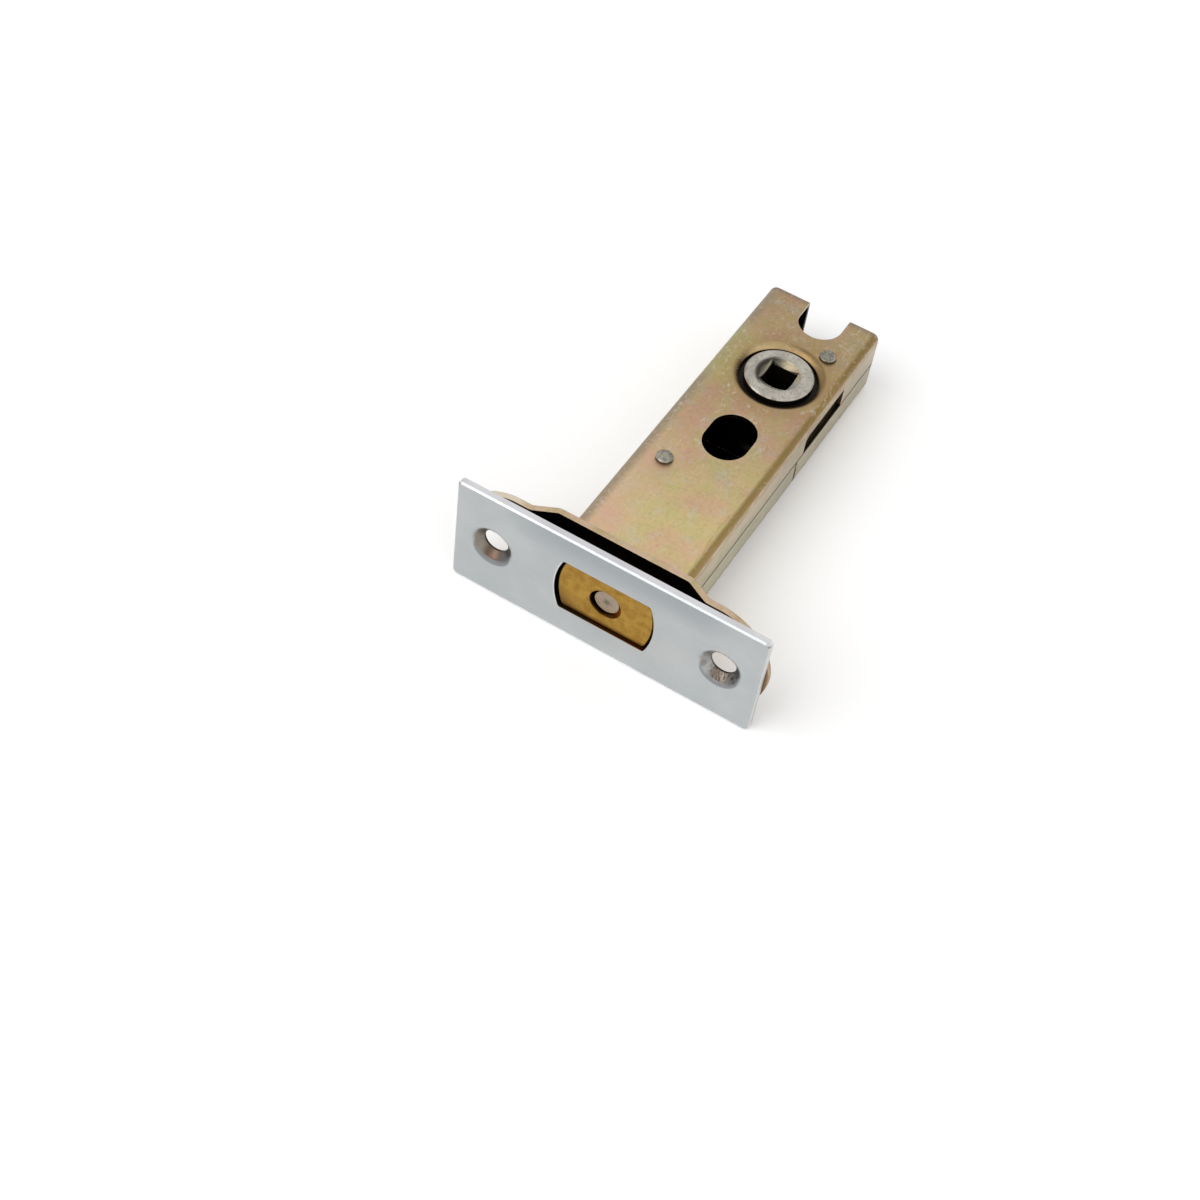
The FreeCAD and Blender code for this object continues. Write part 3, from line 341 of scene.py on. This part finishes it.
def scratches(f, seed):
    """Short pale scratches that lie several ways."""
    ways = ((0.5, 0.86), (0.97, -0.26), (0.2, -0.98))
    lines = []
    for index, (cosine, sine) in enumerate(ways):
        along = f.math("MULTIPLY", f.blend(f.x, cosine, f.y, sine), 0.4)
        across = f.math("MULTIPLY", f.blend(f.x, sine, f.y, -cosine), 7.0)
        place = f.add("ShaderNodeCombineXYZ", [along, across, f.math("MULTIPLY", f.z, 0.8)])
        lines.append(f.rise(f.noise_at(place, seed + index, 2.0), 0.64, 0.72))
    return f.either(*lines)


def inside_case(f):
    """1 on the shells' inner faces and in the holes cut through them."""
    masks = []
    for place, face in ((f.x, CASE_HALF), (f.z, CASE_TOP)):
        masks.append(f.rise(f.math("ABSOLUTE", place), face - 0.62, face - 0.76))
    return f.both(*masks, f.rise(f.y, CASE_END - 0.05, CASE_END - 0.2))


def wall_tint(f, wide, patch, darkening):
    """The walls' tint, greenish below the seam, and paler than the top as painted light."""
    lower = colour(212, 212, 186)
    upper = colour(224, 212, 184)
    wall = f.mix(f.rise(f.z, SEAM - 0.1, SEAM + 0.1), lower, upper)
    wall = f.paint(wall, f.rise(patch, 0.45, 0.66), 0.35, colour(212, 188, 168))
    wall = f.paint(wall, f.rise(wide, 0.5, 0.66), 0.4, colour(188, 190, 154))
    return f.mix(f.both(darkening, 0.5), wall, colour(206, 196, 196), "MULTIPLY")


def darken_bends(f, tint, side, high, fine):
    """Brown along the case's long bends, with painted shade on the right one, and grey round its
    rear end.
    """
    # Painted shade along the right bend.
    bend = f.both(f.rise(f.x, 9.8, 10.7), f.rise(side, 0.96, 0.8), f.rise(high, 5.2, 5.8))
    tint = f.paint(tint, bend, 0.9, colour(124, 102, 54))
    streak = f.noise((0.6, 3.0, 0.6), seed=19.0, detail=3.0)
    brown = f.both(f.rise(f.x, 11.05, 11.3), f.rise(high, 4.4, 5.2), f.rise(streak, 0.35, 0.55))
    tint = f.paint(tint, brown, 0.55, colour(162, 130, 98))
    # A thin reddish-brown line along the right bend, in streaks.
    red_line = f.both(f.rise(f.x, 9.3, 9.7), f.rise(f.x, 10.2, 9.9))
    red_line = f.both(red_line, f.rise(high, 6.0, 6.3), f.rise(streak, 0.5, 0.62))
    tint = f.paint(tint, red_line, 0.4, colour(160, 116, 80))
    left = f.both(f.rise(f.x, -8.8, -10.5), f.rise(high, 4.2, 5.4), f.rise(fine, 0.0, 0.5))
    tint = f.paint(tint, left, 0.85, colour(146, 132, 110))
    rear = f.both(f.rise(f.y, CASE_END - 1.7, CASE_END - 0.8), f.rise(side, 0.95, 0.6))
    return f.paint(tint, rear, 0.8, colour(134, 118, 102))


def darken_dish(f, tint, dish, high):
    """Brown in the dish round the spindle, with painted shade deepest at its lip and on the right
    of its rear slope, and a painted highlight on that slope's left.
    """
    floor = f.both(f.rise(dish, 13.0, 9.6), f.rise(high, 6.0, 6.3))
    tint = f.paint(tint, floor, 0.4, colour(150, 124, 72))
    # Painted shade on the rear slope, and a painted highlight on its left part.
    rear = f.both(f.rise(dish, 10.4, 9.8), f.rise(high, 5.2, 5.6), f.rise(f.ny, -0.02, -0.2))
    tint = f.paint(tint, rear, 0.85, colour(124, 101, 64))
    rear_highlight = f.both(rear, f.rise(f.x, SPINDLE[0] + 1.0, SPINDLE[0] - 5.0))
    tint = f.paint(tint, rear_highlight, 0.7, colour(188, 164, 120))
    # Painted shade at the lip, where the dish turns down into the hole.
    lip_shade = f.both(f.rise(dish, 8.9, 7.7), f.rise(high, 5.0, 5.4), f.rise(f.ny, -0.35, 0.1))
    return f.paint(tint, lip_shade, 0.9, colour(70, 48, 16))


def scuff(f, tint, dish, hole, side):
    """Pale scratches, and scuffs where the case has rubbed."""
    marks = f.both(scratches(f, 31.0), f.rise(f.noise(5.0, seed=15.0), 0.4, 0.58))
    tint = f.paint(tint, marks, 0.55, colour(218, 210, 196))
    rubbed = f.either(
        f.both(f.rise(dish, 12.0, 10.0), f.rise(dish, 9.0, 9.8)),
        f.rise(hole, 7.4, 5.8),
        f.both(f.rise(f.x, -8.6, -10.6), f.rise(side, 0.5, 0.2)),
        f.both(f.rise(f.y, 70.0, 74.0), 0.7),
    )
    grit = f.noise((0.7, 1.0, 0.8), seed=16.0, detail=5.0, rough=0.62, warp=0.3)
    sparse = f.noise(4.0, seed=18.0)
    scuffed = f.both(rubbed, f.rise(grit, 0.5, 0.66), f.rise(sparse, 0.38, 0.54))
    return f.paint(tint, scuffed, 0.5, colour(206, 198, 186))


def blacken_gaps(f, tint, hole, side):
    """Black in the seam, the stepped joint and the fixing hole's wall, and pale worn edges."""
    seam = f.rise(f.off(f.z, SEAM), 0.3, 0.18)
    step = f.add("ShaderNodeMapRange", (f.z, JOINT_FOOT - 0.2, JOINT_FOOT, JOINT + 0.4, JOINT))
    gap = f.rise(f.off(f.y, step), 0.38, 0.24)
    joint = f.both(gap, f.rise(side, 0.6, 0.9), f.rise(f.z, SEAM + 0.1, SEAM))
    hole_wall = f.both(f.rise(hole, 7.0, 6.6), f.rise(f.math("ABSOLUTE", f.nz), 0.75, 0.5))
    tint = f.mix(f.either(seam, joint, hole_wall), tint, colour(34, 28, 18))
    wear = f.both(f.worn(0.2), f.rise(f.noise(2.0, seed=17.0), 0.4, 0.6))
    wear = f.both(wear, f.math("SUBTRACT", 1.0, joint))
    return f.paint(tint, wear, 0.45, colour(212, 196, 172))


def case_steel():
    """The shells of the case, darker towards the rear and along their bends, with painted light
    and shade on the walls, the right bend, the dish and the inside.
    """
    f, tint, (wide, patch, fine, rolled) = passivated(
        "yellow_passivated_shell",
        colour(204, 184, 132),
        colour(206, 172, 138),
        colour(192, 184, 124),
        11.0,
    )
    high = f.math("ABSOLUTE", f.z)
    side = f.math("ABSOLUTE", f.nx)
    dish = f.reach(f.x, f.y, SPINDLE)
    hole = f.reach(f.x, f.y, FIXING)
    flush = f.both(f.rise(f.x, 0.0, -8.0), f.rise(f.y, 46.0, 28.0), 0.4)
    tint = f.mix(flush, tint, colour(212, 172, 152))
    # Darker towards the rear.
    darkening = f.math("MULTIPLY", f.rise(f.y, 8.0, 66.0), 0.95)
    tint = f.mix(darkening, tint, colour(206, 196, 200), "MULTIPLY")
    # Painted light: the side walls paler than the top.
    tint = f.paint(tint, f.rise(side, 0.6, 0.9), 0.85, wall_tint(f, wide, patch, darkening))
    tint = darken_bends(f, tint, side, high, fine)
    left = f.rise(f.x, -4.0, -8.0)
    mossy = f.both(left, f.rise(f.y, 49.0, 56.0), f.rise(f.y, 72.0, 65.0), 0.4)
    tint = f.mix(mossy, tint, colour(184, 182, 122))
    tint = darken_dish(f, tint, dish, high)
    tint = scuff(f, tint, dish, hole, side)
    tint = blacken_gaps(f, tint, hole, side)
    # Painted shade: the case's inner faces and its holes black, dim olive towards the right wall.
    inside_shade = f.mix(f.rise(f.x, 5.0, 8.5), colour(20, 16, 11), colour(128, 112, 74))
    tint = f.mix(inside_case(f), tint, inside_shade)
    relief = f.bump(f.blend(fine, 0.5, rolled, 0.5), 0.012)
    return f.finish(tint, 0.85, f.stretch(patch, 0.3, 0.42), relief)


def strip_steel():
    """The bridged strip behind the forend, with painted shade on its front faces, black where the
    bridge leaves a gap.
    """
    f, tint, noises = passivated(
        "yellow_passivated_strip",
        colour(182, 150, 106),
        colour(192, 152, 126),
        colour(164, 148, 86),
        51.0,
    )
    wide, patch, fine = noises[:3]
    across = f.math("ABSOLUTE", f.x)
    edge = f.rise(f.math("ABSOLUTE", f.ny), 0.5, 0.2)
    trim = f.mix(f.rise(patch, 0.42, 0.6), colour(192, 166, 142), colour(174, 156, 116))
    trim = f.paint(trim, f.rise(f.x, 20.0, 24.0), 0.8, colour(164, 138, 100))
    # A painted highlight on the edges of the left end.
    trim = f.paint(trim, f.rise(f.x, -17.0, -20.0), 0.85, colour(226, 219, 204))
    front_lip = f.both(f.rise(f.noise(5.0, seed=57.0), 0.3, 0.6), f.rise(fine, 0.3, 0.6))
    trim = f.paint(trim, front_lip, 0.4, colour(214, 198, 172))
    tint = f.paint(tint, edge, 0.85, trim)
    tint = f.paint(tint, f.worn(0.18), 0.5, colour(196, 174, 142))
    # Painted shade on the faces towards the forend, black in the gap behind the bridge.
    front_shade = f.rise(f.ny, -0.4, -0.7)
    tint = f.paint(tint, front_shade, 0.7, colour(120, 92, 56))
    bridge_gap_shade = f.both(front_shade, f.rise(across, BRIDGE_HALF + 1.5, BRIDGE_HALF - 0.5))
    tint = f.mix(bridge_gap_shade, tint, colour(12, 10, 8))
    relief = f.bump(f.blend(fine, 0.6, wide, 0.4), 0.012)
    return f.finish(tint, 0.85, f.stretch(patch, 0.3, 0.45), relief)


def bolt_brass():
    """Sawn brass, brown with age towards one corner and along its edges, with painted shadow
    along the top and bottom of its face and painted shade and a painted glint in its counterbore.
    """
    f = Finish("bolt_brass")
    cloud = f.noise(1.7, seed=61.0, detail=4.5, rough=0.58, warp=0.4)
    fine = f.noise(0.3, seed=62.0, detail=3.0)
    sawn = f.noise((0.14, 30.0, 4.5), seed=63.0, detail=3.0)
    tint = f.mix(f.rise(cloud, 0.35, 0.65), colour(160, 118, 42), colour(184, 145, 62))
    tint = f.paint(tint, f.rise(sawn, 0.5, 0.68), 0.35, colour(200, 166, 92))
    corner = f.math("SUBTRACT", f.math("MULTIPLY", f.x, -0.55), f.math("MULTIPLY", f.z, 0.8))
    darkening = f.both(f.rise(corner, 4.4, 8.6), f.rise(cloud, 0.3, 0.6))
    tint = f.paint(tint, darkening, 0.85, colour(112, 76, 36))
    # Painted shadow of the forend's edge along the top of the face, and painted shadow with
    # patina along its bottom.
    flats = f.either(f.rise(f.z, -4.5, -5.6), f.rise(f.z, 5.0, 5.4))
    shadow_bands = f.both(flats, f.rise(f.y, 1.3, 0.8))
    tint = f.paint(tint, shadow_bands, 0.75, colour(92, 62, 24))
    wear = f.both(f.worn(0.3), f.rise(cloud, 0.4, 0.62))
    tint = f.paint(tint, wear, 0.6, colour(128, 92, 44))
    ring = f.reach(f.x, f.z)
    bore = f.rise(ring, COUNTERBORE_RADIUS + 0.1, COUNTERBORE_RADIUS - 0.05)
    bore = f.both(bore, f.rise(f.y, 0.75, 1.1))
    # Painted shade in the counterbore, with a painted glint low on its right.
    glint = f.both(f.rise(f.x, -0.6, 1.6), f.rise(f.z, -0.5, -2.0))
    tint = f.mix(bore, tint, f.mix(glint, colour(44, 28, 12), colour(226, 164, 72)))
    relief = f.bump(f.blend(fine, 0.4, sawn, 0.6), 0.014)
    return f.finish(tint, 1.0, f.stretch(fine, 0.28, 0.42), relief)


def spigot_steel():
    """Turned end of the spigot, with rings about a dark centre."""
    f = Finish("turned_steel")
    distance = f.reach(f.x, f.z)
    ring = f.math("SINE", f.math("MULTIPLY", distance, 14.0))
    rings = f.rise(ring, -1.0, 1.0)
    mottle = f.noise(0.7, seed=71.0, detail=4.0)
    tint = f.mix(rings, colour(160, 143, 124), colour(180, 165, 146))
    tint = f.paint(tint, f.rise(mottle, 0.5, 0.75), 0.5, colour(136, 114, 92))
    tint = f.paint(tint, f.rise(distance, 1.1, 0.1), 0.7, colour(84, 72, 62))
    tint = f.mix(f.rise(distance, 2.3, 2.5), tint, colour(60, 44, 28))
    height = f.math("ADD", rings, f.math("MULTIPLY", mottle, 0.2))
    return f.finish(tint, 0.9, 0.36, f.bump(height, 0.016))


def sintered_steel():
    """Dull, granular face of the follower, black with grease and painted shade below its rim and
    in its square, with painted light and shade round the square.
    """
    f = Finish("sintered_steel")
    grain = f.noise(0.28, seed=81.0, detail=4.0, rough=0.65)
    pores = f.noise(0.16, seed=82.0, detail=1.0)
    cloud = f.noise(2.4, seed=83.0)
    tint = f.mix(f.rise(cloud, 0.35, 0.65), colour(168, 164, 154), colour(188, 184, 174))
    speckle = f.noise(0.55, seed=85.0, detail=4.0, rough=0.6)
    tint = f.paint(tint, f.rise(speckle, 0.48, 0.66), 0.6, colour(140, 130, 116))
    tint = f.paint(tint, f.rise(grain, 0.5, 0.7), 0.5, colour(136, 128, 114))
    tint = f.paint(tint, f.rise(pores, 0.62, 0.72), 0.7, colour(88, 80, 68))
    distance = f.reach(f.x, f.y, SPINDLE)
    high = f.math("ABSOLUTE", f.z)
    chipped = f.noise(1.8, seed=84.0, detail=4.0)
    chips = f.both(f.rise(distance, 6.0, 6.4), f.rise(chipped, 0.5, 0.58))
    chips = f.both(chips, f.rise(f.y, SPINDLE[1] + 1.0, SPINDLE[1] - 3.0))
    tint = f.paint(tint, chips, 0.6, colour(118, 98, 72))
    cone = f.rise(distance, SQUARE_SINK_RADIUS + 0.15, SQUARE_SINK_RADIUS)
    cone = f.both(cone, f.rise(high, 6.0, 6.15))
    # Painted light on the cone's rear facets, and painted shade on its left ones.
    lit_cone = f.mix(f.rise(grain, 0.4, 0.6), colour(172, 160, 132), colour(140, 130, 108))
    tint = f.mix(f.both(cone, f.rise(f.ny, 0.1, -0.3)), tint, lit_cone)
    tint = f.mix(f.both(cone, f.rise(f.nx, 0.0, 0.3)), tint, colour(96, 92, 80))
    # Painted shade round the square's left side.
    left = f.rise(f.x, SPINDLE[0] - 1.0, SPINDLE[0] - 3.0)
    left_lip = f.both(f.rise(distance, 4.9, 4.2), f.rise(distance, 3.4, 3.8), left)
    tint = f.paint(tint, left_lip, 0.92, colour(46, 44, 34))
    # A painted highlight on the ridge along the square's left side.
    across_lip = f.rise(f.off(f.x, SPINDLE[0] - 2.95), 0.3, 0.1)
    along_lip = f.rise(f.off(f.y, SPINDLE[1]), 3.0, 2.2)
    inner_lip = f.both(across_lip, along_lip, f.rise(high, 5.4, 5.7))
    tint = f.paint(tint, inner_lip, 0.35, colour(176, 170, 142))
    # Painted shade with grease: black below the rim and inside the square.
    beyond_face = f.rise(distance, FOLLOWER_FACE_RADIUS - 0.04, FOLLOWER_FACE_RADIUS + 0.04)
    outside = f.either(beyond_face, f.rise(high, 6.78, 6.62))
    deep = f.both(outside, f.math("SUBTRACT", 1.0, cone))
    tint = f.mix(deep, tint, colour(24, 18, 12))
    height = f.math("ADD", grain, f.math("MULTIPLY", pores, -0.6))
    return f.finish(tint, 0.75, 0.48, f.bump(height, 0.03))


def rivet_steel(name, seed):
    """A rivet's head, with painted shadow round its foot."""
    f = Finish(name)
    cloud = f.noise(0.7, seed=seed, detail=4.0)
    fine = f.noise(0.2, seed=seed + 1.0)
    tint = f.mix(f.rise(cloud, 0.35, 0.65), colour(116, 112, 102), colour(166, 162, 150))
    tint = f.paint(tint, f.rise(fine, 0.48, 0.66), 0.6, colour(86, 80, 68))
    # Painted shadow round the head's foot.
    tint = f.mix(f.rise(f.math("ABSOLUTE", f.z), 7.1, 6.95), tint, colour(40, 34, 26))
    return f.finish(tint, 0.85, 0.38, f.bump(f.math("ADD", cloud, fine), 0.03))


def inner_steel(name, first, second, seed):
    """A plain plated part inside the case."""
    f = Finish(name)
    cloud = f.noise(3.0, seed=seed, detail=3.0)
    fine = f.noise(0.4, seed=seed + 1.0)
    tint = f.mix(f.rise(cloud, 0.35, 0.65), first, second)
    return f.finish(tint, 0.85, f.stretch(fine, 0.35, 0.5), f.bump(fine, 0.01))


def white_paper():
    """White paper that glows a little where it is seen directly."""
    f = Finish("white_paper")
    tone = f.mix(f.noise(40.0, seed=7.0), (0.93, 0.93, 0.93, 1.0), (0.96, 0.96, 0.96, 1.0))
    seen_directly = f.add("ShaderNodeLightPath")
    f.feed(f.shader.inputs["Emission Color"], WHITE)
    f.feed(f.shader.inputs["Emission Strength"], f.math("MULTIPLY", seen_directly, PAPER_GLOW))
    return f.finish(tone, 0.0, 0.9)


def edge_tree():
    """Smooth shading over a node's faces, broken only at its real edges."""
    tree = bpy.data.node_groups.new("tidy_surface", "GeometryNodeTree")
    tree.interface.new_socket("Geometry", in_out="INPUT", socket_type="NodeSocketGeometry")
    tree.interface.new_socket("Geometry", in_out="OUTPUT", socket_type="NodeSocketGeometry")
    start = tree.nodes.new("NodeGroupInput")
    end = tree.nodes.new("NodeGroupOutput")
    angle = tree.nodes.new("GeometryNodeInputMeshEdgeAngle")
    sharp = tree.nodes.new("FunctionNodeCompare")
    sharp.data_type = "FLOAT"
    sharp.operation = "GREATER_THAN"
    sharp.inputs["B"].default_value = math.radians(SMOOTH_UP_TO)
    forget = tree.nodes.new("GeometryNodeRemoveAttribute")
    forget.inputs["Name"].default_value = "custom_normal"
    smooth = tree.nodes.new("GeometryNodeSetShadeSmooth")
    split = tree.nodes.new("GeometryNodeSetShadeSmooth")
    split.domain = "EDGE"
    split.inputs["Shade Smooth"].default_value = False
    link = tree.links.new
    link(start.outputs[0], forget.inputs["Geometry"])
    link(forget.outputs["Geometry"], smooth.inputs["Geometry"])
    link(smooth.outputs["Geometry"], split.inputs["Geometry"])
    link(angle.outputs["Unsigned Angle"], sharp.inputs["A"])
    link(sharp.outputs["Result"], split.inputs["Selection"])
    link(split.outputs["Geometry"], end.inputs[0])
    return tree


def soften(node, width, tree):
    """Join the node's faces and break its sharp edges by that width in millimetres."""
    weld = node.modifiers.new("weld", "WELD")
    weld.merge_threshold = 1e-6
    bevel = node.modifiers.new("edges", "BEVEL")
    bevel.width = width / MM_PER_METRE
    bevel.segments = 2
    bevel.limit_method = "ANGLE"
    bevel.angle_limit = math.radians(BEVEL_FROM)
    bevel.use_clamp_overlap = False
    bevel.miter_outer = "MITER_ARC"
    tidy = node.modifiers.new("tidy", "NODES")
    tidy.node_group = tree


def white_surroundings():
    """White where they are seen or mirrored, and dimmer as the light on everything."""
    world = bpy.data.worlds.new("studio")
    world.use_nodes = True
    nodes = world.node_tree.nodes
    link = world.node_tree.links.new
    backdrop = nodes["Background"]
    backdrop.inputs["Color"].default_value = WHITE
    path = nodes.new("ShaderNodeLightPath")
    seen = path.outputs["Is Camera Ray"]
    for output in ("Is Glossy Ray", "Is Transmission Ray"):
        larger = nodes.new("ShaderNodeMath")
        larger.operation = "MAXIMUM"
        link(seen, larger.inputs[0])
        link(path.outputs[output], larger.inputs[1])
        seen = larger.outputs[0]
    level = nodes.new("ShaderNodeMapRange")
    level.inputs["To Min"].default_value = SURROUNDINGS_LEVEL
    link(seen, level.inputs["Value"])
    link(level.outputs[0], backdrop.inputs["Strength"])
    return world


def add_sun(name, strength, spread, towards):
    """A sun that looks spread degrees wide and stands in the direction of towards."""
    lamp = bpy.data.lights.new(name, "SUN")
    lamp.energy = strength
    lamp.angle = math.radians(spread)
    sun = bpy.data.objects.new(name, lamp)
    sun.rotation_mode = "QUATERNION"
    sun.rotation_quaternion = Vector(towards).to_track_quat("Z", "Y")
    bpy.context.scene.collection.objects.link(sun)


def add_camera():
    """The camera at its place, turned by its azimuth, elevation and roll."""
    azimuth, elevation, roll = (math.radians(angle) for angle in CAMERA_ANGLES)
    back = Vector(
        (
            math.sin(azimuth) * math.cos(elevation),
            -math.cos(azimuth) * math.cos(elevation),
            math.sin(elevation),
        )
    )
    lens = bpy.data.cameras.new("camera")
    lens.sensor_width = SENSOR_WIDTH
    lens.lens = FOCAL_PIXELS / PICTURE_PIXELS * SENSOR_WIDTH
    lens.clip_start = 0.01
    camera = bpy.data.objects.new("camera", lens)
    bpy.context.scene.collection.objects.link(camera)
    turned = back.to_track_quat("Z", "Y").to_matrix().to_4x4() @ Matrix.Rotation(roll, 4, "Z")
    camera.matrix_world = Matrix.Translation(CAMERA_PLACE) @ turned
    bpy.context.scene.camera = camera


for item in list(bpy.data.objects):
    bpy.data.objects.remove(item)
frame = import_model()
nodes = frame["nodes"]

shell = case_steel()
tail_steel = inner_steel("zinc_plated_steel", colour(110, 102, 76), colour(134, 124, 94), 91.0)
leaf_steel = inner_steel("spring_steel", colour(50, 50, 54), colour(76, 74, 74), 95.0)
finishes = {
    "forend_plate": plated_steel(),
    "inner_strip": strip_steel(),
    "upper_shell": shell,
    "lower_shell": shell,
    "rear_cover": shell,
    "bolt_head": bolt_brass(),
    "bolt_tail": tail_steel,
    "tail_spigot": spigot_steel(),
    "follower": sintered_steel(),
    "detent_spring": leaf_steel,
    "front_rivet": rivet_steel("front_rivet_steel", 101.0),
    "rear_rivet": rivet_steel("rear_rivet_steel", 105.0),
}
tidy_surface = edge_tree()
for name, finish in finishes.items():
    nodes[name].data.materials.clear()
    nodes[name].data.materials.append(finish)
    if name in EDGE_WIDTHS:
        soften(nodes[name], EDGE_WIDTHS[name], tidy_surface)

# The object lies on its forend's lower edge and on the rear end of its case.
forend_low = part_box("forend_plate")[0].z
cover_low, cover_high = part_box("rear_cover")
forend_back = FOREND_THICKNESS / MM_PER_METRE
slope = math.atan2(cover_low.z - forend_low, cover_high.y - forend_back)
turn = Matrix.Rotation(slope, 4, "X")
bpy.ops.mesh.primitive_plane_add(size=3.0)
floor = bpy.context.object
floor.name = "floor"
floor.matrix_world = Matrix.Translation((0, forend_back, forend_low)) @ turn
floor.data.materials.append(white_paper())

bpy.context.scene.world = white_surroundings()
add_sun("key", strength=1.15, spread=50, towards=(-0.45, -0.5, 0.74))
add_sun("fill", strength=0.45, spread=70, towards=(0.85, -0.1, 0.5))
add_camera()
bpy.context.scene.view_settings.view_transform = "Standard"
